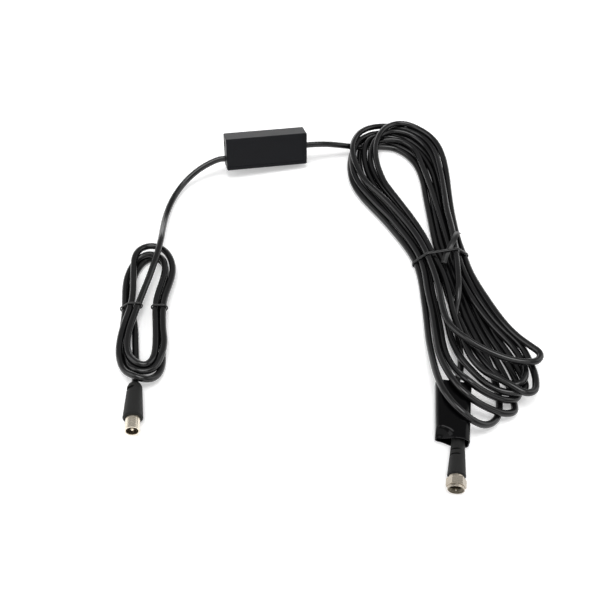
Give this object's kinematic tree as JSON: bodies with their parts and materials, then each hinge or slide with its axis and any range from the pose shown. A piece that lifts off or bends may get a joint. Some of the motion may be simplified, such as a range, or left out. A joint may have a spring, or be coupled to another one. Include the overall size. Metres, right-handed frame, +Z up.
{
  "type": "amplified aerial lead",
  "caption": "Amplified TV aerial lead: power inserter box, tied coaxial leads, push-in TV plug, shrink-sleeved amplifier and screw-on antenna plug.",
  "frame": {"origin": "on the floor under the middle of the power inserter box", "axes": "+X towards the box's right-hand end, where the antenna lead leaves; +Y away from the two plugs; +Z up"},
  "size_m": [0.2962, 0.3531, 0.034],
  "materials": {
    "black_abs": "fine moulded texture",
    "circuit_board": "green solder mask",
    "socket_plastic": "moulded",
    "nickel_plate": "bright nickel plate",
    "tinplate": "tin plate",
    "ferrite": "sintered",
    "copper_wire": "drawn wire",
    "can_aluminium": "drawn can",
    "chip_ceramic": "fired",
    "dielectric": "natural polyethylene",
    "moulded_pvc": "satin moulded",
    "lead_pvc": "extruded satin sheath",
    "shrink_tube": "glossy shrink tube",
    "tie_pvc": "extruded strip"
  },
  "bodies": {
    "lead_set": {"front_cover": "black_abs", "rear_shell": "black_abs", "inserter_board": "circuit_board", "power_socket": "socket_plastic", "power_socket_pin": "nickel_plate", "choke_core": "ferrite", "choke_winding": "copper_wire", "filter_capacitor": "can_aluminium", "chip_capacitors": "chip_ceramic", "tv_lead_crimp": "tinplate", "tv_lead_core": "dielectric", "antenna_lead_crimp": "tinplate", "antenna_lead_core": "dielectric", "tv_lead_run": "lead_pvc", "tv_lead_hank": "lead_pvc", "tv_lead_tail": "lead_pvc", "tv_lead_tie": "tie_pvc", "tv_plug_boot": "moulded_pvc", "tv_plug_shell": "nickel_plate", "tv_plug_insulator": "dielectric", "tv_plug_pin": "nickel_plate", "antenna_lead_run": "lead_pvc", "antenna_lead_hank": "lead_pvc", "antenna_lead_tail": "lead_pvc", "antenna_lead_tie": "tie_pvc", "amp_sleeve": "shrink_tube", "amp_board": "circuit_board", "amp_can": "tinplate", "antenna_plug_stub": "lead_pvc", "antenna_plug_boot": "moulded_pvc", "antenna_plug_post": "nickel_plate", "antenna_plug_insulator": "dielectric", "antenna_plug_pin": "copper_wire"},
    "coupling_nut": {"antenna_plug_nut": "nickel_plate"}
  },
  "joints": [
    {"name": "nut_spin", "type": "hinge", "parent": "lead_set", "child": "coupling_nut", "pos_m": [0.12375, -0.30229, 0.0066], "axis": [-0.1564, -0.9877, 0], "continuous": true}
  ]
}
